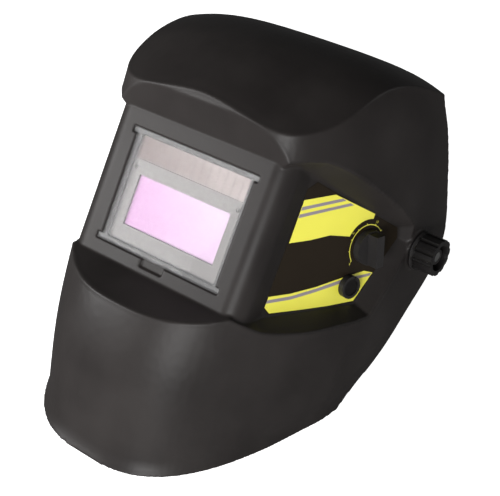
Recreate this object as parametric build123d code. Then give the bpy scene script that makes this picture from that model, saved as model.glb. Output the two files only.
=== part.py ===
from build123d import *
import math
import os

# Auto-darkening welding helmet with a ratchet headgear.
# Helmet frame: x to the wearer's left, y to the back, z up, with the window upright,
# and its origin at the middle of the bottom edge of the cover lens.
# Left and right in the node names are as seen by someone facing the helmet: right is +x.
# The finished helmet leans back and stands on its chin rim, as it does on a bench.

# ---- stance ----
LEAN = 33.31              # the window leans back by this angle (degrees)
WINDOW_HEIGHT = 123.75    # height of the bottom edge of the cover lens above the bench
WINDOW_SETBACK = -93.04   # its place along y, from the middle of the whole object
PIVOT_Y = 158.0           # headgear pivot axis, in the helmet frame
PIVOT_Z = 70.6
HEAD_TILT = 12.4          # the headgear's rear hangs this much lower than when worn

# ---- shell ----
WALL = 2.6
CHIN_PLUNGE = 170.0       # depth of the curved part of each plan outline
REAR = 230.0              # the loft runs back to here before the rear edge is cut
# height, front of the outline, half width, squareness of the corners
OUTLINES = [
    (-178, 3, 109, 2.7), (-150, -4, 110, 2.7), (-126, -9, 109.5, 2.8), (-100, -16, 112, 2.8),
    (-65, -25, 117.5, 2.6), (-25, -28, 120, 2.75), (10, -26, 120.5, 3.2), (55, -19, 120, 4.2),
    (100, -12, 118.5, 5.3), (130, -15.6, 116, 5.5), (162, -12, 111.5, 5.5), (205, -6, 105, 5.5),
]
SPREAD = [0.18, 0.36, 0.52, 0.65, 0.76, 0.85, 0.92, 0.965]   # where an outline takes its points
# run back from the brow, height of the dome
DOME = [(-14, 108), (0, 129.4), (15.6, 148), (35, 168), (65, 187), (105, 197), (150, 199), (250, 199)]
DOME_STATIONS = [0, 30, 57, 80, 100, 130]
DOME_CROWN = 4.0          # drop of the dome at x = 85
REAR_EDGE = [(126, -65.2), (140, -47), (165.5, -14), (184, 23), (198, 51), (202, 82), (183, 118),
             (166, 145.5), (151, 168), (138, 183), (130, 196), (128, 215)]

# ---- window box and side pockets ----
LENS_W, LENS_H, LENS_T = 110.0, 88.6, 1.3
LENS_EAR = 4.0            # ears at the four corners of the cover lens
EAR_H = 4.5
BOX_HALF = 81.5           # half width of the window box
BOX_R = 15.0
BOX_PROUD = 1.0           # the panel stands this far in front of the lens
POCKET_Y = 28.0           # the pocket floor starts here and flares out
FLARE = 15.0
POCKET_END = 150.0        # length of the flared floor, beyond the pocket's rear wall
BOX_BOTTOM, BOX_TOP = -10.5, 100.3
# pocket outline on its floor (run back from the start of the flare, height)
POCKET = [(-37, -10.5), (-5, -8.2), (90.5, 17.3), (113, 74.4), (108.4, 83.1), (-5, 101), (-37, 100.3)]
# how far each of those corners moves as the pocket opens outwards
POCKET_DRAFT = [(0, -13), (0, -13), (12, -8), (32, -5), (30, 16), (0, 20), (0, 20)]
POCKET_OUT = 25.0
POCKET_SINK = 4.0
STEP_DOWN, STEP_UP = 0.75, 1.6     # the ledge under and over the window, rise per mm forward
WINDOW_W, WINDOW_H = 103.0, 80.0
NOTCH = (22.0, 6.5, -2.0)     # finger notch under the lens: width, height, middle

# ---- cartridge ----
CART_W, CART_H, CART_T = 110.0, 90.0, 9.0
CART_Y = 4.4
FILTER_W, FILTER_H, FILTER_Z = 87.0, 39.0, 36.0
SOLAR_W, SOLAR_H, SOLAR_Z = 104.0, 18.0, 75.5
SENSOR_X, SENSOR_Z, SENSOR_R = 48.6, 60.2, 1.8
CELL_R = 10.0
PAD_W, PAD_H = 134.0, 104.0
LENS_PLAY = 0.25
SCREW_R, SCREW_HEAD_R = 1.5, 2.9
SCREWS = [(x, z) for x in (-63.0, 63.0) for z in (8.0, 80.6)]
PLUG_W, PLUG_H, PLUG_X, PLUG_Z = 12.0, 9.0, 45.0, 76.0

# ---- controls in the right pocket (run back along the floor, height) ----
SHADE_AT = (80.8, 62.3)
SENSE_AT = (75.8, 29.5)
SHADE_R, SHADE_H = 13.6, 15.0
SENSE_R, SENSE_H = 9.0, 5.0
DECAL_T = 0.35
DECAL = [(0.5, 0), (7, -3.6), (63, 10.2), (89.6, 18.2), (111.6, 74.4), (107.4, 82.2), (30, 94.2),
         (8, 98), (0.5, 91)]
POT_R, BUSH_R, SHAFT_R, NUT_R = 8.0, 3.4, 3.0, 5.4
KNOB_LIFT = 0.8           # the knobs turn clear of the decal
BLADE_ANGLE = 25.0
LEAD_R = 1.5

# ---- pivot and headgear (its own frame: origin on the pivot axis) ----
BOLT_R = 4.0
FIT = 0.06                # radial clearance of a running fit
GAP = 0.3
KNOB_R, KNOB_L = 15.0, 18.4
SEAT_IN, SEAT_OUT = 112.6, 120.6      # faces of the boss in the shell's side wall
BAND_R, BAND_T = 92.0, 2.0
BAND_SHIFT = 8.0          # the front and rear arcs of the band are centred this far apart
BAND_LOW, BAND_HIGH = -12.0, 22.0
STRAP_Y, STRAP_W = -25.0, 22.0
BAND_WRAP = 38.0          # the side arms wrap this far round the rear (degrees)
STRAP_IN, STRAP_T = 94.3, 1.6
STRAP_RISE = 22.0
PEG_R, RIVET_R = 2.5, 2.2
RACK_R = 88.0             # the two rear bands meet at this radius
RACK_T = 1.8
RACK_Z = 5.0
PINION_TEETH, TOOTH_MODULE = 8, 1.0
PITCH_R = PINION_TEETH * TOOTH_MODULE / 2
PINION_SHAFT = 18.0
HAND_R, HAND_L = 20.0, 15.0
PLATE_IN, PLATE_T, PLATE_R = 108.1, 2.4, 17.0
LUG_AT, LUG_R, LUG_ANGLE = 13.8, 1.8, -70.0
STOP_SWEEP = (-81.4, 5.3)   # the angle plate is open for the lug between these
BOSS_R, BOLT_WALL = 16.5, 119.0
BLOCK_Y, BLOCK_Z = 19.0, 18.0
INNER_WASHER_R, OUTER_WASHER_R = 11.0, 12.5
KNOB_IN = 122.4
BOLT_END = 138.0

STANCE = Pos(0, WINDOW_SETBACK, WINDOW_HEIGHT) * Rot(X=-LEAN)
GEAR = STANCE * Pos(0, PIVOT_Y, PIVOT_Z) * Rot(X=-HEAD_TILT)
GROUND = Rot(X=LEAN) * Pos(0, -WINDOW_SETBACK, -WINDOW_HEIGHT)     # the bench, in the helmet frame
MIRROR = Plane.YZ
# the right pocket floor: x runs back along it, y up, z outwards
FLOOR = Plane(origin=(BOX_HALF, POCKET_Y, 0),
              x_dir=(math.sin(math.radians(FLARE)), math.cos(math.radians(FLARE)), 0),
              z_dir=(math.cos(math.radians(FLARE)), -math.sin(math.radians(FLARE)), 0))


# ---------------------------------------------------------------- helpers
def block(x, y, z, centre):
    return Pos(*centre) * Box(x, y, z)


def rod(radius, start, length, along="x"):
    """A cylinder that starts at a point and runs along one axis."""
    turn = {"x": Rot(Y=90), "y": Rot(X=-90), "z": Rot()}[along]
    return Pos(*start) * turn * Cylinder(radius, length, align=(Align.CENTER, Align.CENTER, Align.MIN))


def sector(inner, outer, low, high, start, end):
    """Part of a ring about z, between two angles measured from +x."""
    ring = Cylinder(outer, high - low) - Cylinder(inner, high - low)
    reach = outer * 2
    steps = max(2, math.ceil((end - start) / 60) + 1)
    angles = [start + (end - start) * i / (steps - 1) for i in range(steps)]
    corners = [(reach * math.cos(math.radians(a)), reach * math.sin(math.radians(a))) for a in angles]
    wedge = extrude(make_face(Polyline((0, 0), *corners, (0, 0))), (high - low) / 2, both=True)
    return Pos(0, 0, (low + high) / 2) * (ring & wedge)


def both_sides(solid):
    return Compound([solid, mirror(solid, MIRROR)])


def side_plate(points, half_width):
    """A closed outline in y and z, extruded both ways along x."""
    return extrude(Plane.YZ * make_face(Polyline(*points, points[0])), half_width, both=True)


# ---------------------------------------------------------------- shell
def outline(height, front, half, corner, inset):
    """One closed plan outline of the helmet wall, moved in by inset."""
    half = half - inset
    front = front + inset
    right = []
    for part in SPREAD:
        depth = 1 - math.sqrt(1 - part ** corner)
        right.append((half * part, front + CHIN_PLUNGE * depth, height))
    right.append((half, front + CHIN_PLUNGE, height))
    left = [(-x, y, z) for x, y, z in reversed(right)]
    curve = Spline(*left, (0, front, height), *right, tangents=[(0, -1, 0), (0, 1, 0)])
    back = Polyline(right[-1], (half, REAR, height), (-half, REAR, height), left[0])
    return Wire([curve, *back.edges()])


def dome_profile(x, inset):
    """Side profile of the dome at one station, closed far below."""
    brow = 7.6 * (abs(x) / 57) ** 1.5 - 15.6
    drop = DOME_CROWN * (abs(x) / 85) ** 4
    points = [(x, brow + run + 0.6 * inset, top - drop - inset) for run, top in DOME]
    low = -220
    last, first = points[-1], points[0]
    base = Polyline(last, (x, last[1], low), (x, first[1] - 60, low), (x, first[1] - 60, first[2] - 60), first)
    return Wire([Spline(*points), *base.edges()])


def pocket_tool(grow):
    """Opening of the right side pocket, flaring outwards from its floor."""
    rings = []
    for depth in (-POCKET_SINK, POCKET_OUT):
        part = depth / POCKET_OUT
        corners = [(a + part * c, b + part * d) for (a, b), (c, d) in zip(POCKET, POCKET_DRAFT)]
        face = make_face(Polyline(*corners, corners[0]))
        if grow:
            face = offset(face, grow, kind=Kind.INTERSECTION)
        rings.append((FLOOR * Pos(0, 0, depth) * face).wire())
    return Solid.make_loft(rings, True)


def belt(grow):
    """What the window belt takes out of the full helmet: the front step and the two pockets."""
    low, high = BOX_BOTTOM - grow, BOX_TOP + grow
    reach = 60.0
    back = BOX_R - BOX_PROUD + grow
    step = side_plate([(back, low), (0, low), (-reach, low - STEP_DOWN * reach), (-reach, high + STEP_UP * reach),
                       (0, high), (back, high)], 150)
    pocket = pocket_tool(grow)
    return step + pocket + mirror(pocket, MIRROR) - window_box(grow)


def window_box(inset):
    """The window box and the flared pocket floors, as one tall block."""
    run = math.radians(FLARE)
    start = BOX_HALF - inset
    front = inset - BOX_PROUD
    end = (start + POCKET_END * math.sin(run), POCKET_Y + POCKET_END * math.cos(run))
    right = [(start, front), (start, POCKET_Y), end, (end[0], REAR + 20)]
    left = [(-x, y) for x, y in reversed(right)]
    plan = make_face(Polyline(*right, *left, right[0]))
    corners = [v for v in plan.vertices() if abs(abs(v.X) - start) < 0.01 and abs(v.Y - front) < 0.01]
    plan = fillet(corners, BOX_R - inset)
    return Pos(0, 0, -150) * extrude(plan, 400)


def helmet_body(inset):
    """The filled helmet, with its belt cut in, moved in by inset."""
    wall = Solid.make_loft([outline(*row, inset) for row in OUTLINES])
    stations = [-x for x in reversed(DOME_STATIONS[1:])] + DOME_STATIONS
    dome = Solid.make_loft([dome_profile(x, inset) for x in stations])
    return (wall & dome) - belt(inset)


def rear_cut():
    """Everything behind the side walls' rear edge."""
    curve = Spline(*REAR_EDGE)
    first, last = REAR_EDGE[0], REAR_EDGE[-1]
    lines = Polyline(last, (320, last[1]), (320, -260), (first[0] - 120, -260), first)
    face = make_face([*curve.edges(), *lines.edges()])
    return extrude(Plane.YZ * face, 160, both=True)


def lens_plan(grow):
    """Outline of the cover lens with its four ears, upright and centred on x."""
    middle = LENS_H / 2
    plan = Pos(0, middle) * Rectangle(LENS_W + 2 * grow, LENS_H + 2 * grow)
    wide = LENS_W + 2 * LENS_EAR + 2 * grow
    for height in (EAR_H / 2, LENS_H - EAR_H / 2):
        plan += Pos(0, height) * Rectangle(wide, EAR_H + 2 * grow)
    return plan


def lens_block(grow, front, back):
    """The cover lens outline given a thickness between two depths."""
    upright = Plane(origin=(0, front, 0), x_dir=(1, 0, 0), z_dir=(0, -1, 0))
    return extrude(upright * lens_plan(grow), front - back)


def on_pivot(solid):
    return Pos(0, PIVOT_Y, PIVOT_Z) * solid


def stop_lug():
    """Peg inside the right wall that the angle plate turns against."""
    angle = math.radians(LUG_ANGLE)
    place = (PLATE_IN + 0.1, LUG_AT * math.cos(angle), LUG_AT * math.sin(angle))
    return rod(LUG_R, place, BOLT_WALL - place[0] - 0.5)


def make_shell():
    shell = helmet_body(0) - helmet_body(WALL) - rear_cut()
    middle = LENS_H / 2
    shell += block(PAD_W, CART_Y - 0.8, PAD_H, (0, CART_Y / 2, middle))
    shell -= lens_block(LENS_PLAY, -4, LENS_T + 0.1)
    shell -= block(WINDOW_W, 20, WINDOW_H, (0, 0, middle))
    width, height, centre = NOTCH
    shell -= block(width, 3, height + 4, (centre, -0.7, 2 - height / 2))
    boss = rod(BOSS_R, (SEAT_IN, 0, 0), SEAT_OUT - SEAT_IN) + stop_lug()
    shell += both_sides(on_pivot(boss))
    shell -= on_pivot(rod(BOLT_R + FIT, (-200, 0, 0), 400))
    shell -= FLOOR * Pos(*SHADE_AT, -10) * Cylinder(BUSH_R + 0.1, 40)
    shell -= FLOOR * Pos(*SENSE_AT, -10) * Cylinder(BUSH_R + 0.1, 40)
    for x, z in SCREWS:
        shell -= rod(SCREW_R + 0.05, (x, 0.6, z), 20, "y")
    below = GROUND * block(600, 600, 300, (0, 0, -150))
    return shell - below


# ---------------------------------------------------------------- cartridge
def cart(width, thick, height, start, x=0, z=None):
    """A block in the cartridge, from a depth behind its front face."""
    z = LENS_H / 2 if z is None else z
    return block(width, thick, height, (x, CART_Y + start + thick / 2, z))


def make_cartridge():
    half = CART_T / 2
    skin = 2.0
    front = cart(CART_W, half, CART_H, 0) - cart(CART_W - 4, half, CART_H - 4, skin)
    front -= cart(FILTER_W, 8, FILTER_H, -2, z=FILTER_Z)
    front -= cart(SOLAR_W, 1.3, SOLAR_H, -0.01, z=SOLAR_Z)
    eye = rod(SENSOR_R, (SENSOR_X, CART_Y, SENSOR_Z), 3, "y")
    front -= both_sides(eye)
    rear = cart(CART_W, half, CART_H, half) - cart(CART_W - 4, half - 1.6, CART_H - 4, half)
    rear -= cart(FILTER_W + 10, 8, FILTER_H + 6, half, z=FILTER_Z)
    cell = rod(CELL_R, (30, CART_Y + 5.4, SOLAR_Z), 1.6, "y")
    return {
        "front_cover_lens": lens_block(0, 0, LENS_T),
        "cartridge_front_housing": front,
        "cartridge_rear_housing": rear,
        "solar_panel": cart(SOLAR_W - 0.4, 1.1, SOLAR_H - 0.4, 0.1, z=SOLAR_Z),
        "uv_ir_filter": cart(FILTER_W + 5, 1.5, FILTER_H + 5, 2.05, z=FILTER_Z),
        "lcd_shutter": cart(FILTER_W + 5, 2.2, FILTER_H + 5, 3.65, z=FILTER_Z),
        "circuit_board": cart(100, 1.2, 24, 4.05, z=SOLAR_Z - 1),
        "battery_cells": both_sides(cell),
        "arc_sensors": both_sides(rod(SENSOR_R - 0.1, (SENSOR_X, CART_Y + 0.3, SENSOR_Z), 3.2, "y")),
        "inner_cover_lens": cart(104, 1.0, 84, CART_T + 0.1),
    }


def make_holder():
    """Frame that clamps the cartridge to the back of the window panel."""
    deep = CART_T + 3.0
    frame = cart(CART_W + 9, deep, CART_H + 8, 0.1) + cart(PAD_W, 2.4, CART_H + 8, 0.1)
    frame -= cart(CART_W + 0.6, CART_T + 0.1, CART_H + 0.6, 0)
    frame -= cart(104.6, CART_T + 1.2, 84.6, 0)
    frame -= cart(98, 30, 54, 0, z=FILTER_Z)
    frame -= cart(PLUG_W + 2, 30, PLUG_H + 2, 0, x=PLUG_X, z=PLUG_Z)
    screws = []
    for x, z in SCREWS:
        hole = rod(SCREW_R + 0.05, (x, 0.7, z), 20, "y")
        frame -= hole
        frame -= rod(SCREW_HEAD_R + 0.2, (x, CART_Y + 2.5, z), 20, "y")
        head = rod(SCREW_HEAD_R, (x, CART_Y + 2.5, z), 1.8, "y")
        cross = block(3.2, 1.2, 0.8, (x, CART_Y + 4.2, z)) + block(0.8, 1.2, 3.2, (x, CART_Y + 4.2, z))
        screws.append(rod(SCREW_R, (x, 0.8, z), CART_Y + 1.75, "y") + head - cross)
    plug = cart(PLUG_W, 7.6, PLUG_H, CART_T + 0.05, x=PLUG_X, z=PLUG_Z)
    plug -= cart(106, 2, 86, CART_T, x=0)
    return {"cartridge_holder": frame, "holder_screws": Compound(screws), "lead_plug": plug}


# ---------------------------------------------------------------- pocket controls
def on_floor(place, solid):
    """Put a control on the flared pocket floor, its axis along the floor's outward side."""
    return FLOOR * Pos(*place, 0) * solid


def stack(radius, start, length):
    return Pos(0, 0, start + length / 2) * Cylinder(radius, length)


def potentiometer(depth, shaft_top):
    body = stack(POT_R, -WALL - depth, depth - 0.1)
    return body + stack(BUSH_R, -WALL - 0.2, WALL + 2.2) + stack(SHAFT_R, 1, shaft_top - 1)


def shade_grip():
    """Pointer knob: a round skirt with an upright blade across it."""
    skirt = stack(SHADE_R, KNOB_LIFT, 5.5)
    blade = Pos(0, 0, KNOB_LIFT + SHADE_H / 2) * Box(2 * SHADE_R - 2, 7.5, SHADE_H)
    blade &= stack(SHADE_R - 0.2, 0, 40)
    knob = skirt + blade
    hollow = stack(NUT_R + 0.5, 0, KNOB_LIFT + 2.2)
    knob = knob - stack(SHAFT_R + FIT, 0, 9.0) - hollow
    return Rot(Z=90 + BLADE_ANGLE) * knob


def sense_grip():
    """Small round control with a dished face and a pointer notch."""
    knob = stack(SENSE_R, KNOB_LIFT, SENSE_H) - stack(SENSE_R - 2.4, KNOB_LIFT + SENSE_H - 1, 4)
    knob = knob - stack(SHAFT_R + FIT, 0, 3.6) - Pos(0, SENSE_R, KNOB_LIFT + SENSE_H) * Box(1.6, 3, 2)
    return knob - stack(NUT_R + 0.3, 0, KNOB_LIFT + 1.8)


def hex_nut(thick):
    nut = extrude(RegularPolygon(NUT_R, 6), thick)
    return Pos(0, 0, DECAL_T + 0.05) * (nut - Cylinder(BUSH_R + 0.05, 3 * thick))


def decal_sheet():
    sheet = make_face(Polyline(*DECAL, DECAL[0]))
    return extrude(sheet, DECAL_T)


def make_controls():
    right = FLOOR * decal_sheet()
    for place in (SHADE_AT, SENSE_AT):
        right -= on_floor(place, Cylinder(BUSH_R + 0.1, 4))
    return {
        "decal_right": right,
        "decal_left": mirror(FLOOR * decal_sheet(), MIRROR),
        "shade_potentiometer": on_floor(SHADE_AT, potentiometer(9.0, 8.6)),
        "shade_pot_nut": on_floor(SHADE_AT, hex_nut(1.6)),
        "shade_knob": on_floor(SHADE_AT, shade_grip()),
        "sensitivity_potentiometer": on_floor(SENSE_AT, potentiometer(7.0, 3.4)),
        "sensitivity_pot_nut": on_floor(SENSE_AT, hex_nut(1.2)),
        "sensitivity_knob": on_floor(SENSE_AT, sense_grip()),
    }


def make_lead():
    """Control lead from the shade potentiometer to the cartridge plug, inside the shell."""
    start = [(SHADE_AT[0] - POT_R, 62.3, -7.0), (62, 62.3, -7.0), (44, 66, -6.8), (24, 71, -7.2), (4, 75, -11)]
    route = [FLOOR.from_local_coords(Vector(*p)) for p in start]
    edge = PLUG_X + PLUG_W / 2
    route += [Vector(68, 21, 77.5), Vector(edge + 9, 18.6, PLUG_Z), Vector(edge, 18.6, PLUG_Z)]
    radii = []
    for before, here, after in zip(route, route[1:], route[2:]):
        turn = (here - before).get_angle(after - here)
        run = min((here - before).length, (after - here).length)
        radii.append(0.45 * run / math.tan(math.radians(turn) / 2))
    print("lead radii", [round(r, 1) for r in radii])
    path = FilletPolyline(*route, radius=radii)
    start_plane = Plane(origin=path @ 0, z_dir=path % 0)
    lead = sweep(start_plane * Circle(LEAD_R), path=path)
    print("lead length", round(path.length, 1), "volume ratio",
          round(lead.volume / (math.pi * LEAD_R ** 2 * path.length), 4))
    return {"control_lead": lead}


# ---------------------------------------------------------------- headgear
def lobed(radius, length, lobes, bite):
    """A hand knob with flutes round it, standing on z = 0."""
    knob = stack(radius, 0, length)
    for i in range(lobes):
        angle = 2 * math.pi * (i + 0.5) / lobes
        knob -= Pos((radius + bite * 0.55) * math.cos(angle), (radius + bite * 0.55) * math.sin(angle),
                    length / 2 + 2) * Cylinder(bite, length)
    return knob


def tension_knob():
    knob = lobed(KNOB_R, KNOB_L, 11, 2.4) + stack(KNOB_R + 0.8, 0, 2.6)
    knob -= stack(KNOB_R - 4.2, KNOB_L - 8, 10)
    knob += stack(BOLT_R + 2.4, KNOB_L - 9, 6.5)
    knob -= stack(BOLT_R + FIT, -1, KNOB_L + 2)
    return Pos(KNOB_IN, 0, 0) * Rot(Y=90) * knob


def pivot_set():
    """The right pivot's pieces, from the bolt head outwards."""
    head = rod(8, (BAND_R - 2.6, 0, 0), 2.5)
    block_in = BAND_R + BAND_T + 0.1
    boss = block(PLATE_IN - 0.1 - block_in, BLOCK_Y, BLOCK_Z, ((PLATE_IN - 0.1 + block_in) / 2, 0, 0))
    bore = rod(BOLT_R + FIT, (0, 0, 0), 300)
    plate = rod(PLATE_R, (PLATE_IN, 0, 0), PLATE_T)
    sweep_low, sweep_high = STOP_SWEEP
    notch = sector(LUG_AT - LUG_R - 0.6, PLATE_R + 5, -10, 10, sweep_low, sweep_high)
    plate -= Pos(PLATE_IN, 0, 0) * Rot(Y=90) * Rot(Z=90) * notch
    washer = rod(INNER_WASHER_R, (PLATE_IN + PLATE_T + 0.1, 0, 0), SEAT_IN - PLATE_IN - PLATE_T - 0.2)
    outer = rod(OUTER_WASHER_R, (SEAT_OUT + 0.1, 0, 0), KNOB_IN - SEAT_OUT - 0.2)
    return {
        "pivot_bolt": head + rod(BOLT_R, (BAND_R - 1, 0, 0), BOLT_END - BAND_R + 1),
        "pivot_block": boss - bore,
        "angle_plate": plate - bore,
        "inner_washer": washer - bore,
        "outer_washer": outer - bore,
        "tension_knob": tension_knob(),
    }


def ring_part(inner, outer, low, high, start, end, shift=BAND_SHIFT):
    return Pos(0, shift, 0) * sector(inner, outer, low, high, start, end)


def make_headband():
    outer = BAND_R + BAND_T
    band = ring_part(BAND_R, outer, BAND_LOW, BAND_HIGH, 180, 360, -BAND_SHIFT)
    tall = BAND_HIGH - BAND_LOW
    side = block(BAND_T, 2 * BAND_SHIFT, tall, (BAND_R + BAND_T / 2, 0, (BAND_LOW + BAND_HIGH) / 2))
    arm = ring_part(BAND_R, outer, BAND_LOW, BAND_HIGH, 0, BAND_WRAP)
    band += side + arm + mirror(side + arm, MIRROR)
    band -= rod(BOLT_R + FIT, (-200, 0, 0), 400)
    band -= rod(RIVET_R + 0.05, (-200, STRAP_Y, 2), 400)
    pad = ring_part(BAND_R - 6.5, BAND_R - GAP, BAND_LOW - 2, BAND_HIGH + 3, 207, 333, -BAND_SHIFT)
    return {"headband": band, "sweatband": pad}


def strap(inner, start, end, side):
    """One crown strap: an arc over the head and a tail down to the rivet."""
    arc = Pos(0, STRAP_Y, STRAP_RISE) * Rot(X=90) * sector(inner, inner + STRAP_T, -STRAP_W / 2, STRAP_W / 2,
                                                         start, end)
    tall = STRAP_RISE + 9
    tail = block(STRAP_T, STRAP_W, tall, (side * (inner + STRAP_T / 2), STRAP_Y, STRAP_RISE - tall / 2))
    peg = rod(PEG_R + 0.05, (0, STRAP_Y, 50), 100, "z")
    for step in (-14, 14):
        peg += rod(PEG_R + 0.05, (step, STRAP_Y, 50), 100, "z")
    return arc + tail - rod(RIVET_R + 0.05, (-200, STRAP_Y, 2), 400) - peg


def make_straps():
    top = STRAP_RISE + STRAP_IN
    peg = rod(PEG_R, (0, STRAP_Y, top - 1.6), 4 + 2 * STRAP_T, "z")
    peg += rod(PEG_R + 1.8, (0, STRAP_Y, top + 2 * STRAP_T + 0.4), 1.2, "z")
    rivet = rod(RIVET_R, (BAND_R - 4.2, STRAP_Y, 2), STRAP_IN + 2 * STRAP_T + 1.4 - BAND_R + 4.2)
    rivet += rod(RIVET_R + 2, (BAND_R - 5.4, STRAP_Y, 2), 2.4)
    rivet += rod(RIVET_R + 2, (STRAP_IN + 2 * STRAP_T + 0.5, STRAP_Y, 2), 1.2)
    return {
        "top_strap_left": strap(STRAP_IN, 76, 180, -1),
        "top_strap_right": strap(STRAP_IN + STRAP_T + 0.1, 0, 104, 1),
        "strap_peg": peg,
        "strap_rivets": both_sides(rivet),
    }


def rack_band(inner, start, end, up):
    """A rear band: an arc with a toothed slot where it passes the pinion."""
    pitch = TOOTH_MODULE * math.pi
    low, high = RACK_Z - 11, RACK_Z + 11
    band = sector(inner, inner + RACK_T, low, high, start, end)
    turn = 14
    tip = 0.85 * PITCH_R
    root = PITCH_R + 1.35
    edge_low, edge_high = (RACK_Z - root, RACK_Z + tip) if up else (RACK_Z - tip, RACK_Z + root)
    slot = sector(inner - 3, inner + 5, edge_low, edge_high, 90 - turn, 90 + turn)
    step = math.degrees(pitch / RACK_R)
    count = int(turn / step)
    for i in range(-count, count):
        middle = 90 + (i + 0.5) * step
        level = (RACK_Z + tip - 0.1, RACK_Z + root) if up else (RACK_Z - root, RACK_Z - tip + 0.1)
        slot += sector(inner - 3, inner + 5, *level, middle - 0.31 * step, middle + 0.31 * step)
    return Pos(0, BAND_SHIFT, 0) * (band - slot)


def make_pinion():
    start = BAND_SHIFT + RACK_R - RACK_T - 0.1
    teeth_long = 2 * RACK_T + 0.4
    gear = Cylinder(PITCH_R - 1.35, teeth_long, align=(Align.CENTER, Align.CENTER, Align.MIN))
    tooth = Pos(PITCH_R - 0.6, 0, teeth_long / 2) * Box(2.5, 0.9 * TOOTH_MODULE, teeth_long)
    for i in range(PINION_TEETH):
        gear += Rot(Z=360 * (i + 0.5) / PINION_TEETH) * tooth
    gear &= Cylinder(PITCH_R + 0.85, 3 * teeth_long)
    gear += stack(SHAFT_R, teeth_long - 0.1, PINION_SHAFT)
    return Pos(0, start, RACK_Z) * Rot(X=-90) * gear


def make_ratchet():
    inner, low, high = RACK_R - 4.5, RACK_Z - 17, RACK_Z + 17
    base = ring_part(inner, RACK_R + 4, low, high, 66, 114)
    base -= ring_part(RACK_R - 2.3, RACK_R + 2.3, RACK_Z - 11.3, RACK_Z + 11.3, 60, 120)
    base -= rod(PITCH_R + 1.2, (0, BAND_SHIFT + RACK_R - 2.4, RACK_Z), 30, "y")
    cover = ring_part(RACK_R + 4.1, RACK_R + 8, low, high, 68, 112)
    cover -= rod(SHAFT_R + FIT, (0, 0, RACK_Z), 300, "y")
    seat = BAND_SHIFT + RACK_R + 8.0
    detent = rod(12, (0, seat + 0.05, RACK_Z), 2.4, "y") - rod(10.4, (0, seat - 1, RACK_Z), 6, "y")
    knob = lobed(HAND_R, HAND_L, 14, 2.2) - stack(HAND_R - 5, -1, 4.2) - stack(SHAFT_R + FIT, -1, HAND_L - 2)
    pad = ring_part(inner - 5.6, inner - GAP, low - 1, high + 1, 62, 118)
    return {
        "rear_band_right": rack_band(RACK_R + 0.1, 16, 108, True),
        "rear_band_left": rack_band(RACK_R - 0.1 - RACK_T, 72, 164, False),
        "ratchet_base": base,
        "ratchet_cover": cover,
        "ratchet_pinion": make_pinion(),
        "detent_ring": detent,
        "ratchet_knob": Pos(0, seat + 0.4, RACK_Z) * Rot(X=-90) * knob,
        "nape_pad": pad,
    }


# ---------------------------------------------------------------- assembly
def make_all():
    helmet = {"shell": make_shell()}
    for group in (make_cartridge(), make_holder(), make_controls(), make_lead()):
        helmet.update(group)
    gear = {}
    for name, solid in pivot_set().items():
        gear[name + "_right"] = solid
        gear[name + "_left"] = mirror(solid, MIRROR)
    for group in (make_headband(), make_straps(), make_ratchet()):
        gear.update(group)
    nodes = {name: STANCE * solid for name, solid in helmet.items()}
    nodes.update({name: GEAR * solid for name, solid in gear.items()})
    return nodes


def main():
    os.makedirs("parts", exist_ok=True)
    nodes = make_all()
    whole = Compound([solid for solid in nodes.values()]).bounding_box()
    print("box", whole.min, whole.max)
    for name, solid in nodes.items():
        export_step(solid, f"parts/{name}.step")


main()
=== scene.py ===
import math
import bmesh
import bpy
import numpy as np
from mathutils import Matrix, Vector, noise


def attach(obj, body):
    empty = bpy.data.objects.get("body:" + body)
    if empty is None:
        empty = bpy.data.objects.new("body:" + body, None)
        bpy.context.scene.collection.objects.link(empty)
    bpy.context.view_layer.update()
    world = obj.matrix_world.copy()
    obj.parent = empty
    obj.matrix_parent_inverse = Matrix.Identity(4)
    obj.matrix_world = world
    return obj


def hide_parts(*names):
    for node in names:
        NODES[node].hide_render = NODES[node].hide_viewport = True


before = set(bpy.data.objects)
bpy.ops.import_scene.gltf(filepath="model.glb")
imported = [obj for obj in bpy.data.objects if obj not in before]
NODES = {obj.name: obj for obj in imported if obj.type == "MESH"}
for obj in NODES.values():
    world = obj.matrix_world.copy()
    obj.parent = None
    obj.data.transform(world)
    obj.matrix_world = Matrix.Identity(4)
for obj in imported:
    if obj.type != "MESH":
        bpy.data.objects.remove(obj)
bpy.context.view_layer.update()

MM = 0.001

# ---------------------------------------------------------------- frames of the model
# Places in the helmet's own frame are in mm. STANCE stands that frame on the bench, and GEAR does
# the same for the headgear, which hangs on the tilt axis.
LEAN, TILT, FLARE = math.radians(33.31), math.radians(12.4), math.radians(15)
PIVOT = np.array((158, 70.6))               # the tilt axis: y, z
POCKET_X, POCKET_Y = 81.5, 28               # where the pocket floor starts, beside the window
STANCE = Matrix.Translation((0, -93.04, 123.75)) @ Matrix.Rotation(-LEAN, 4, "X")
GEAR = STANCE @ Matrix.Translation((0, *PIVOT)) @ Matrix.Rotation(-TILT, 4, "X")
RUN = Vector((math.sin(FLARE), math.cos(FLARE), 0))
OUT = Vector((math.cos(FLARE), -math.sin(FLARE), 0))


def on_floor(run, height, lift, side=1):
    """A point on the pocket floor, in metres, for the right (1) or left (-1) pocket."""
    p = Vector((POCKET_X, POCKET_Y, 0)) + RUN * run + OUT * lift
    p.z = height
    p.x *= side
    return (STANCE @ p) * MM


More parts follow.
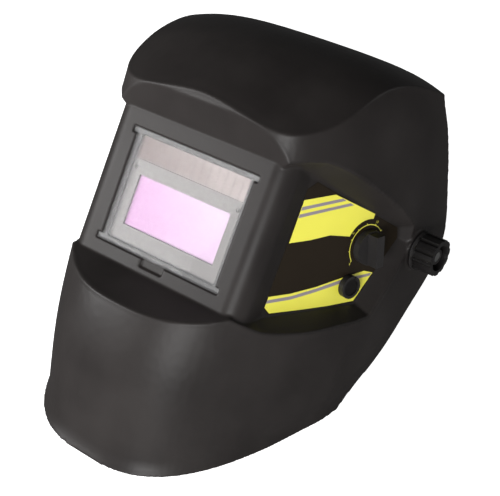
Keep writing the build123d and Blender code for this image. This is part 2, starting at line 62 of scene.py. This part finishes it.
# ---------------------------------------------------------------- materials
class Graph:
    """A short way to write a node material."""

    def __init__(self, name):
        self.mat = bpy.data.materials.new(name)
        self.mat.use_nodes = True
        self.nodes = self.mat.node_tree.nodes
        self.links = self.mat.node_tree.links
        self.shader = self.nodes["Principled BSDF"]
        self.coords = self.add("ShaderNodeTexCoord").outputs["Object"]

    def add(self, kind, inputs=None, **options):
        node = self.nodes.new(kind)
        for key, value in options.items():
            setattr(node, key, value)
        for key, value in (inputs or {}).items():
            if isinstance(value, bpy.types.NodeSocket):
                self.links.new(value, node.inputs[key])
            else:
                node.inputs[key].default_value = value
        return node

    def noise(self, scale, detail=3.0, vector=None):
        put = {"Scale": scale, "Detail": detail, "Vector": vector or self.coords}
        return self.add("ShaderNodeTexNoise", put).outputs["Fac"]

    def ramp(self, value, low, high, a, b):
        put = {"Value": value, "From Min": low, "From Max": high, "To Min": a, "To Max": b}
        return self.add("ShaderNodeMapRange", put).outputs["Result"]

    def mix(self, factor, a, b):
        node = self.add("ShaderNodeMix", {"Factor": factor}, data_type="RGBA")
        for socket, value in ((node.inputs[6], a), (node.inputs[7], b)):
            if isinstance(value, bpy.types.NodeSocket):
                self.links.new(value, socket)
            else:
                socket.default_value = (*value, 1)
        return node.outputs[2]

    def math(self, operation, a, b=0.0):
        node = self.add("ShaderNodeMath", operation=operation)
        for socket, value in ((node.inputs[0], a), (node.inputs[1], b)):
            if isinstance(value, bpy.types.NodeSocket):
                self.links.new(value, socket)
            else:
                socket.default_value = value
        return node.outputs[0]

    def set(self, **values):
        for key, value in values.items():
            socket = self.shader.inputs[key.replace("_", " ")]
            if isinstance(value, bpy.types.NodeSocket):
                self.links.new(value, socket)
            else:
                socket.default_value = value

    def bump(self, height, strength, distance):
        put = {"Height": height, "Strength": strength, "Distance": distance}
        self.set(Normal=self.add("ShaderNodeBump", put).outputs["Normal"])


WEAR_LOW, WEAR_HIGH = 0.53, 0.60            # pointiness where wear starts and is full


def moulded(name, dark, pale, rough, grain=2600.0, strength=0.12, level=0.5):
    """Moulded plastic: fine grain, a faint cloudy tone and paler worn edges."""
    g = Graph(name)
    cloud = g.noise(18.0, 4.0)
    edge = g.add("ShaderNodeNewGeometry").outputs["Pointiness"]
    worn = g.ramp(edge, WEAR_LOW, WEAR_HIGH, 0.0, 0.5)
    base = g.mix(g.ramp(cloud, 0.3, 0.7, 0.0, 1.0), dark, pale)
    g.set(Base_Color=g.mix(worn, base, tuple(min(1, c * 1.7 + 0.01) for c in pale)))
    fine = g.noise(grain, 2.0)
    g.set(Roughness=g.ramp(g.math("ADD", cloud, fine), 0.7, 1.3, rough - 0.05, rough + 0.06))
    g.set(Specular_IOR_Level=level)
    g.bump(fine, strength, 0.0002)
    return g.mat


def metal(name, tone, rough):
    """Plated steel with fine turning marks."""
    g = Graph(name)
    stretched = g.add("ShaderNodeMapping", {"Vector": g.coords, "Scale": (400, 60, 400)}).outputs[0]
    marks = g.noise(5.0, 4.0, stretched)
    g.set(Base_Color=g.mix(marks, tuple(c * 0.7 for c in tone), tone), Metallic=1.0)
    g.set(Roughness=g.ramp(marks, 0.3, 0.7, rough, rough + 0.15))
    g.bump(marks, 0.1, 0.0002)
    return g.mat


def glass(name, tint, rough=0.03, alpha=1.0, transmission=1.0, level=0.5):
    """Clear sheet with faint smears in its gloss."""
    g = Graph(name)
    smear = g.noise(35.0, 3.0)
    g.set(Base_Color=g.mix(smear, tint, tuple(min(1, c * 1.04) for c in tint)))
    g.set(Roughness=g.ramp(smear, 0.3, 0.8, rough, rough + 0.05))
    g.set(Transmission_Weight=transmission, Alpha=alpha, IOR=1.45, Specular_IOR_Level=level)
    return g.mat


def in_helmet(g):
    """Coordinates in the helmet's own frame, in millimetres, as separate sockets."""
    back = STANCE.inverted()
    angle = back.to_euler()
    moved = g.add("ShaderNodeMapping", {"Vector": g.coords, "Scale": (1000, 1000, 1000),
                                        "Rotation": tuple(angle), "Location": tuple(back.translation)})
    return g.add("ShaderNodeSeparateXYZ", {"Vector": moved.outputs[0]}).outputs


PANEL_HALF = 52.0                           # half the solar panel's width, in mm
CELL, CELL_GAP = 7.43, 0.09                 # pitch in mm, and the dark line's share of it
FINGER, FINGER_LINE = 1.06, 0.22            # the fine lines inside a cell, in the same way


def solar(name):
    """Beige solar strip: narrow vertical cells with thin dark lines between them, and painted light
    that makes it lighter towards +x.
    """
    g = Graph(name)
    x = in_helmet(g)["X"]
    cell = g.math("FRACT", g.math("DIVIDE", g.math("ADD", x, PANEL_HALF), CELL))
    line = g.math("LESS_THAN", cell, CELL_GAP)
    fine = g.math("LESS_THAN", g.math("FRACT", g.math("DIVIDE", x, FINGER)), FINGER_LINE)
    cloud = g.ramp(g.noise(60.0, 3.0), 0.3, 0.7, 0.0, 0.2)
    # painted light: the strip is made lighter towards +x, where the light falls; the cloud noise is its
    # own uneven tone
    painted_light_and_cloud = g.math("ADD", g.ramp(x, -50.0, 50.0, 0.0, 0.8), cloud)
    base = g.mix(painted_light_and_cloud, (0.066, 0.040, 0.035), (0.255, 0.215, 0.208))
    base = g.mix(g.math("MULTIPLY", fine, 0.30), base, (0.24, 0.17, 0.16))
    g.set(Base_Color=g.mix(g.math("MULTIPLY", line, 0.75), base, (0.085, 0.06, 0.055)))
    g.set(Roughness=0.35, Specular_IOR_Level=0.05)
    g.bump(line, 0.3, 0.0002)
    return g.mat


def lilac(name):
    """The mirror-coated filter, lilac, with painted light: lighter towards +x and up, and a painted
    glow from its emission.
    """
    g = Graph(name)
    place = in_helmet(g)
    # painted light: the lilac is made lighter towards +x and upwards, where more light falls
    slant = g.math("ADD", place["X"], g.math("MULTIPLY", place["Z"], 0.5))
    across = g.ramp(slant, -40.0, 60.0, 0.0, 1.0)
    tone = g.mix(across, (0.29, 0.120, 0.27), (0.365, 0.260, 0.365))
    g.set(Base_Color=g.mix(g.ramp(g.noise(25.0), 0.3, 0.7, 0.0, 0.12), tone, (0.50, 0.42, 0.50)))
    g.set(Roughness=0.40, Specular_IOR_Level=0.1)
    # painted glow: the emission makes the filter shine in its painted-light colour though it is no lamp
    g.set(Emission_Color=tone, Emission_Strength=0.25)
    return g.mat


def film(name, tone, rough=0.28, coat=0.3, level=0.5):
    """Printed film with a light orange peel."""
    g = Graph(name)
    peel = g.noise(700.0, 2.0)
    cloud = g.noise(30.0, 2.0)
    g.set(Base_Color=g.mix(g.ramp(cloud, 0.3, 0.7, 0.0, 1.0), tone, tuple(c * 0.93 for c in tone)))
    g.set(Roughness=g.ramp(peel, 0.3, 0.7, rough, rough + 0.04))
    g.set(Coat_Weight=coat, Specular_IOR_Level=level)
    g.bump(peel, 0.012, 0.0002)
    return g.mat


def cloth(name, dark, pale):
    """Brushed cloth over foam: a fine crossed weave with fuzz."""
    g = Graph(name)
    thread = {"Vector": g.coords, "Scale": 420.0, "Distortion": 1.0}
    warp = g.add("ShaderNodeTexWave", thread).outputs["Fac"]
    weft = g.add("ShaderNodeTexWave", thread, bands_direction="Z").outputs["Fac"]
    fuzz = g.noise(1500.0, 3.0)
    weave = g.math("MULTIPLY", g.math("ADD", warp, weft), 0.5)
    height = g.math("ADD", weave, g.math("MULTIPLY", fuzz, 0.6))
    g.set(Base_Color=g.mix(g.ramp(height, 0.3, 1.3, 0.0, 1.0), dark, pale), Roughness=0.95)
    g.set(Sheen_Weight=0.35, Sheen_Roughness=0.5)
    g.bump(height, 0.5, 0.0004)
    return g.mat


BLACK, SOOT = (0.012, 0.012, 0.013), (0.020, 0.020, 0.021)
M = {
    "shell": moulded("shell_plastic", (0.0138, 0.0120, 0.0116), (0.0210, 0.0185, 0.0177), 0.42,
                     level=0.13),
    "gear": moulded("gear_plastic", BLACK, SOOT, 0.46, 1800.0),
    "knob": moulded("knob_plastic", (0.006, 0.0055, 0.0055), (0.011, 0.010, 0.010), 0.36, 2000.0,
                    level=0.2),
    "grey": moulded("cartridge_plastic", (0.066, 0.059, 0.057), (0.084, 0.076, 0.073), 0.5, 1500.0,
                    level=0.24),
    "rubber": moulded("washer_rubber", (0.015, 0.015, 0.015), (0.03, 0.03, 0.03), 0.8, 900.0, 0.3),
    "steel": metal("plated_steel", (0.62, 0.62, 0.61), 0.28),
    "clear": glass("clear_cover", (0.93, 0.94, 0.95), 0.04, 0.05, 0.0, 0.4),
    "lcd": glass("lcd_glass", (0.35, 0.42, 0.30), 0.08, transmission=0.3),
    "solar": solar("solar_cells"),
    "lilac": lilac("filter_lilac"),
    "board": film("board_green", (0.02, 0.16, 0.06), 0.4),
    "dark_film": film("decal_dark", (0.016, 0.012, 0.008), 0.22, 0.0, 0.14),
    "yellow": film("decal_yellow", (0.72, 0.68, 0.07)),
    "stripe": film("decal_stripe", (0.24, 0.21, 0.23)),
    "cloth": cloth("pad_cloth", (0.010, 0.010, 0.011), (0.045, 0.045, 0.048)),
}

LOOK = {
    "shell": "shell", "front_cover_lens": "clear", "inner_cover_lens": "clear", "lcd_shutter": "lcd",
    "solar_panel": "solar", "uv_ir_filter": "lilac", "circuit_board": "board", "battery_cells": "steel",
    "arc_sensors": "dark_film", "cartridge_front_housing": "grey", "cartridge_rear_housing": "grey",
    "holder_screws": "steel", "shade_pot_nut": "steel", "sensitivity_pot_nut": "steel",
    "pivot_bolt_right": "steel", "pivot_bolt_left": "steel", "inner_washer_right": "rubber",
    "inner_washer_left": "rubber", "decal_right": "dark_film", "decal_left": "dark_film",
    "control_lead": "rubber",
}
for name, node in NODES.items():
    choice = LOOK.get(name, "knob" if "knob" in name else "gear")
    node.data.materials.clear()
    node.data.materials.append(M[choice])


# ---------------------------------------------------------------- mesh helpers
def make(name, verts, faces, material, body, smooth=True):
    mesh = bpy.data.meshes.new(name)
    mesh.from_pydata([tuple(v) for v in verts], [], faces)
    mesh.update()
    piece = bpy.data.objects.new(name, mesh)
    bpy.context.scene.collection.objects.link(piece)
    piece.data.materials.append(material)
    for face in mesh.polygons:
        face.use_smooth = smooth
    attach(piece, body)
    return piece


def patch(name, points, side, lift, material):
    """A printed patch on a pocket floor, from its outline (run, height)."""
    verts = [on_floor(a, b, lift, side) for a, b in points]
    order = list(range(len(verts)))
    piece = make(name, verts, [order if side > 0 else order[::-1]], material, "helmet", False)


# ---------------------------------------------------------------- shell
VOXEL = 0.9 * MM
LIP_HIGH, LIP_OUT = 11.0 * MM, 2.4 * MM     # the rim flares outwards near the bench
LIP_HALF, LIP_MIDDLE, LIP_DEPTH = 0.12, -0.03, 0.15     # the ellipse it flares from, in metres
LIP_BACK = 0.02                             # no flare behind this y, in metres
CONTROLS = ((80.8, 62.3), (75.8, 29.5))     # on the pocket floor: run back, height
WINDOW_HALF, WINDOW_LOW, WINDOW_HIGH, WINDOW_BACK = 68, -12, 99, 14
PIVOT_KEEP, CONTROL_KEEP, KEEP_FADE = 20, 8, 6          # crisp rings, and how far they fade out
PUSH_IN, PUSH_OUT = 0.5, -0.53              # one round of softening
EVERYWHERE_ROUNDS, SOFT_ROUNDS = 3, 90
SEAT_IN, SEAT_OUT = 112.6, 120.6            # the two faces of each pivot seat, from the middle
SEAT_R, SEAT_SLACK = 13.0, 2.0              # wider than the washers; how far a face may have crept
BORE_R = 4.25                               # clear of the 4 mm bolt


def dense_copy(node):
    """An even quad mesh of a CAD node, as a new object."""
    copy = bpy.data.objects.new(node + "_moulded", NODES[node].data.copy())
    bpy.context.scene.collection.objects.link(copy)
    mesh = bmesh.new()
    mesh.from_mesh(copy.data)
    bmesh.ops.remove_doubles(mesh, verts=mesh.verts, dist=1e-6)
    mesh.to_mesh(copy.data)
    mesh.free()
    remesh = copy.modifiers.new("remesh", "REMESH")
    remesh.mode, remesh.voxel_size = "VOXEL", VOXEL
    bpy.context.view_layer.update()
    made = bpy.data.meshes.new_from_object(copy.evaluated_get(bpy.context.evaluated_depsgraph_get()))
    copy.modifiers.clear()
    copy.data = made
    return copy


def read_points(mesh):
    points = np.empty(len(mesh.vertices) * 3)
    mesh.vertices.foreach_get("co", points)
    edges = np.empty(len(mesh.edges) * 2, int)
    mesh.edges.foreach_get("vertices", edges)
    return points.reshape(-1, 3), edges.reshape(-1, 2)


def relax(points, edges, rounds, weight):
    """Rounds sharp edges over without shrinking the wall (a push in, then a push out)."""
    count = np.bincount(edges.ravel(), minlength=len(points)).clip(1)
    for step in (PUSH_IN, PUSH_OUT) * rounds:
        for axis in range(3):
            value = points[:, axis]
            near = np.bincount(edges[:, 0], value[edges[:, 1]], len(points))
            near += np.bincount(edges[:, 1], value[edges[:, 0]], len(points))
            points[:, axis] = value + step * weight * (near / count - value)
    return points


def softness(points):
    """1 where the moulding is soft, 0 at the lens recess, the pivots and the control holes."""
    back = np.array(STANCE.inverted())
    x, y, z = (points / MM @ back[:3, :3].T + back[:3, 3]).T
    window = [abs(x) - WINDOW_HALF, z - WINDOW_HIGH, WINDOW_LOW - z, y - WINDOW_BACK]
    away = [np.maximum.reduce(window), np.hypot(y - PIVOT[0], z - PIVOT[1]) - PIVOT_KEEP]
    run = (y - POCKET_Y) / math.cos(FLARE)
    away += [np.hypot(run - a, z - b) - CONTROL_KEEP for a, b in CONTROLS]
    return np.clip(np.minimum.reduce(away) / KEEP_FADE, 0, 1)


def clear_pivots(points):
    """Keeps the softened seats off the bolts and washers that turn in them."""
    back = np.array(STANCE.inverted())
    local = points / MM @ back[:3, :3].T + back[:3, 3]
    side, depth = np.sign(local[:, 0]), abs(local[:, 0])
    arm = local[:, 1:] - PIVOT
    reach = np.hypot(arm[:, 0], arm[:, 1])
    seat = (reach < SEAT_R) & (depth > SEAT_IN - SEAT_SLACK) & (depth < SEAT_OUT + SEAT_SLACK)
    local[seat, 0] = side[seat] * depth[seat].clip(SEAT_IN, SEAT_OUT)
    bore = seat & (reach < BORE_R)
    local[bore, 1:] = PIVOT + arm[bore] * (BORE_R / reach[bore])[:, None]
    there = np.array(STANCE)
    return (local @ there[:3, :3].T + there[:3, 3]) * MM


def moulded_shell():
    """The shell with rolled edges and a flared lip, in place of the sharp CAD one."""
    piece = dense_copy("shell")
    points, edges = read_points(piece.data)
    points = relax(points, edges, EVERYWHERE_ROUNDS, 1.0)
    points = relax(points, edges, SOFT_ROUNDS, softness(points))
    forward = np.clip((points[:, 1] - LIP_MIDDLE) / LIP_DEPTH, -1, 0)
    out = np.stack([points[:, 0] / LIP_HALF, forward], 1)
    out /= np.linalg.norm(out, axis=1, keepdims=True).clip(1e-6)
    flare = LIP_OUT * np.clip(1 - points[:, 2] / LIP_HIGH, 0, 1) ** 2 * (points[:, 1] < LIP_BACK)
    points[:, :2] += out * flare[:, None]
    points[:, 2] = points[:, 2].clip(0)
    points = clear_pivots(points)
    piece.data.vertices.foreach_set("co", points.ravel())
    piece.data.update()
    piece.data.materials.clear()
    piece.data.materials.append(M["shell"])
    piece.data.polygons.foreach_set("use_smooth", [True] * len(piece.data.polygons))
    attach(piece, "helmet")
    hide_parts("shell")


moulded_shell()

# ---------------------------------------------------------------- decals
# Outlines lie on the pocket floor, in mm: run back, height. Lifts stand them off it.
DIAL, DIAL_R = CONTROLS[0], 17.0
DIAL_START, DIAL_END, DIAL_TICKS = 55, 235, 7           # degrees round the control
HOLLOW_R = 21.5                             # the upper area curves round the dial
AREA_LIFT, STRIPE_LIFT, ARC_LIFT, TICK_LIFT, DIGIT_LIFT = 0.40, 0.43, 0.44, 0.45, 0.46


def dial_point(radius, angle):
    return (DIAL[0] + radius * math.cos(angle), DIAL[1] + radius * math.sin(angle))


HOLLOW = [dial_point(HOLLOW_R, math.radians(a)) for a in range(98, 171, 8)]
TOP_EDGE = [(0.9, 82.8), (29.7, 93.0), (77.5, 87.5)]
LOW_EDGE = [(39.2, 63.3), (21.1, 56.2), (1.6, 50.3)]
LOWER = [(0.9, 9.0), (21, 14.5), (43.8, 23.1), (70.3, 35.5), (88.9, 43.4), (98.6, 43.6), (89.2, 18.8),
         (63.3, 10.9), (38, 4.4), (7.3, -2.9), (0.9, 0.6)]
STRIPES = [
    [(1.5, 75.0), (1.5, 77.8), (38.2, 91.8), (42.5, 90.9)],
    [(1.5, 69.3), (1.5, 72.1), (47.8, 90.1), (52.0, 89.3)],
]
SWEEP_TOP = [(0.9, 6.4), (23.1, 13.0), (45.3, 22.3), (71.7, 34.6), (97.6, 43.3)]
SWEEP_LOW = [(0.9, 3.8), (23.1, 10.2), (45.3, 19.3), (71.7, 31.4), (96.6, 40.6)]


def tick(angle, inner, outer, width):
    a = math.radians(angle)
    across = (-math.sin(a) * width / 2, math.cos(a) * width / 2)
    near, far = dial_point(inner, a), dial_point(outer, a)
    return [(near[0] - across[0], near[1] - across[1]), (far[0] - across[0], far[1] - across[1]),
            (far[0] + across[0], far[1] + across[1]), (near[0] + across[0], near[1] + across[1])]


def arc_band(start, end, inner, outer, steps=28):
    turns = [math.radians(start + (end - start) * i / steps) for i in range(steps + 1)]
    return [dial_point(outer, a) for a in turns] + [dial_point(inner, a) for a in reversed(turns)]


def digit(text, at, size):
    """A generic dial number, laid on the right pocket floor."""
    curve = bpy.data.curves.new("dial_number_" + text, "FONT")
    curve.body, curve.size = text, size * MM
    curve.align_x, curve.align_y = "CENTER", "CENTER"
    piece = bpy.data.objects.new("dial_number_" + text, curve)
    bpy.context.scene.collection.objects.link(piece)
    turn = STANCE.to_3x3() @ Matrix((RUN, (0, 0, 1), OUT)).transposed()
    piece.matrix_world = Matrix.Translation(on_floor(*at, DIGIT_LIFT)) @ turn.to_4x4()
    curve.materials.append(M["yellow"])
    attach(piece, "helmet")


for side, tag, hollow in ((1, "right", HOLLOW), (-1, "left", [(62.0, 74.0)])):
    patch("decal_upper_" + tag, TOP_EDGE + hollow + LOW_EDGE, side, AREA_LIFT, M["yellow"])
    patch("decal_lower_" + tag, LOWER, side, AREA_LIFT, M["yellow"])
    for i, stripe in enumerate(STRIPES):
        patch(f"decal_stripe_{i}_{tag}", stripe, side, STRIPE_LIFT, M["stripe"])
    patch("decal_sweep_" + tag, SWEEP_LOW + SWEEP_TOP[::-1], side, STRIPE_LIFT, M["stripe"])
band = arc_band(DIAL_START, DIAL_END, DIAL_R - 0.35, DIAL_R + 0.35)
patch("dial_arc", band, 1, ARC_LIFT, M["yellow"])
for i in range(DIAL_TICKS):
    turn = DIAL_START + (DIAL_END - DIAL_START) / (DIAL_TICKS - 1) * i
    patch(f"dial_tick_{i}", tick(turn, DIAL_R, DIAL_R + 1.3, 0.6), 1, TICK_LIFT, M["yellow"])
for text, angle in (("13", 84), ("11", 160), ("9", 238)):
    digit(text, dial_point(DIAL_R + 2.9, math.radians(angle)), 2.7)


# ---------------------------------------------------------------- pads
END_ROUND = 5.0                             # degrees over which a pad's end closes
SEAM_WIDE, SEAM_DEEP = 0.9, 0.42            # degrees, and the share of the thickness lost


def pad(name, inner, outer, low, high, start, end, shift, seams, seed):
    """A crowned foam pad round part of the headband, sewn across at the seams."""
    across, along = 28, 160
    verts, faces = [], []
    for i in range(along + 1):
        part = i / along
        angle = math.radians(start + (end - start) * part)
        close = min(part, 1 - part) * (end - start)
        taper = math.sqrt(max(0.0, 1 - max(0.0, 1 - close / END_ROUND) ** 2))
        sewn = min((abs(part - s) * (end - start) for s in seams), default=99)
        dip = 1 - SEAM_DEEP * math.exp(-((sewn / SEAM_WIDE) ** 2))
        for j in range(across):
            turn = 2 * math.pi * j / across
            c, s = math.cos(turn), math.sin(turn)
            flat = (abs(s) ** 0.55) * (1 if s > 0 else -1)
            lift = (abs(c) ** 0.75) * (1 if c > 0 else -1)
            height = (low + high) / 2 + (high - low) / 2 * flat * (0.55 + 0.45 * taper)
            middle, half = (inner + outer) / 2, (outer - inner) / 2
            swell = half * lift * max(taper, 0.12)
            if lift < 0:
                ripple = noise.noise(Vector((i * 0.11 + seed, flat * 2.2, seed)))
                swell *= dip * (1 + 0.10 * ripple)
            radius = middle + swell
            point = Vector((radius * math.cos(angle), radius * math.sin(angle) + shift, height))
            verts.append(GEAR @ point * MM)
    for i in range(along):
        for j in range(across):
            a, b = i * across + j, i * across + (j + 1) % across
            faces.append((a, b, b + across, a + across))
    faces.append(tuple(range(across)))
    faces.append(tuple(reversed(range(along * across, (along + 1) * across))))
    piece = make(name, verts, faces, M["cloth"], "headgear")
    smooth = piece.modifiers.new("smooth", "SUBSURF")
    smooth.levels = smooth.render_levels = 1
    mesh = bmesh.new()
    mesh.from_mesh(piece.data)
    bmesh.ops.recalc_face_normals(mesh, faces=mesh.faces)
    mesh.to_mesh(piece.data)
    mesh.free()
    return piece


brow = pad("brow_pad", 85.5, 91.7, -14, 25, 207, 333, -8, [i / 8 for i in range(1, 8)], 3)
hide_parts("sweatband")
nape = pad("nape_cushion", 77.9, 83.2, -13, 23, 62, 118, 8, [0.25, 0.5, 0.75], 9)
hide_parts("nape_pad")


# ---------------------------------------------------------------- stage, lights, camera
def softbox(name, at, aim, size, power):
    light = bpy.data.lights.new(name, "AREA")
    light.shape, light.size, light.size_y, light.energy = "RECTANGLE", size[0], size[1], power
    lamp = bpy.data.objects.new(name, light)
    bpy.context.scene.collection.objects.link(lamp)
    lamp.location = at
    lamp.rotation_euler = (Vector(aim) - Vector(at)).to_track_quat("-Z", "Y").to_euler()


floor_mesh = bpy.data.meshes.new("floor")
floor_mesh.from_pydata([(-8, -8, 0), (8, -8, 0), (8, 8, 0), (-8, 8, 0)], [], [(0, 1, 2, 3)])
ground = bpy.data.objects.new("floor", floor_mesh)
bpy.context.scene.collection.objects.link(ground)
pale = Graph("floor_pale")
pale.set(Base_Color=(0.92, 0.92, 0.92, 1), Roughness=0.9, Specular_IOR_Level=0.0)
pale.set(Emission_Color=(1, 1, 1, 1), Emission_Strength=0.86)
floor_mesh.materials.append(pale.mat)
ground.visible_glossy = False      # the bright floor lights the object but isn't mirrored in it

softbox("key", (-1.3, -1.3, 0.70), (0, -0.08, 0.12), (0.8, 0.7), 40)
softbox("front", (0.7, -1.8, 0.55), (0, -0.08, 0.12), (0.7, 0.5), 44)
softbox("side", (1.5, -0.5, 0.75), (0.05, 0.02, 0.12), (0.5, 0.8), 0.8)
softbox("rim", (1.1, 1.4, 1.0), (0, 0.05, 0.15), (0.6, 0.8), 3)
world = bpy.data.worlds.new("studio")
bpy.context.scene.world = world
world.use_nodes = True
world.node_tree.nodes["Background"].inputs[0].default_value = (1, 1, 1, 1)
world.node_tree.nodes["Background"].inputs[1].default_value = 0.10

lens = bpy.data.cameras.new("view")
lens.lens, lens.sensor_width = 86.4, 36
camera = bpy.data.objects.new("view", lens)
bpy.context.scene.collection.objects.link(camera)
camera.location = (0.4952, -0.6065, 0.6361)
camera.rotation_euler = (math.radians(90 - 35.03), 0, math.radians(38.40))
bpy.context.scene.camera = camera
bpy.context.scene.view_settings.view_transform = "Standard"
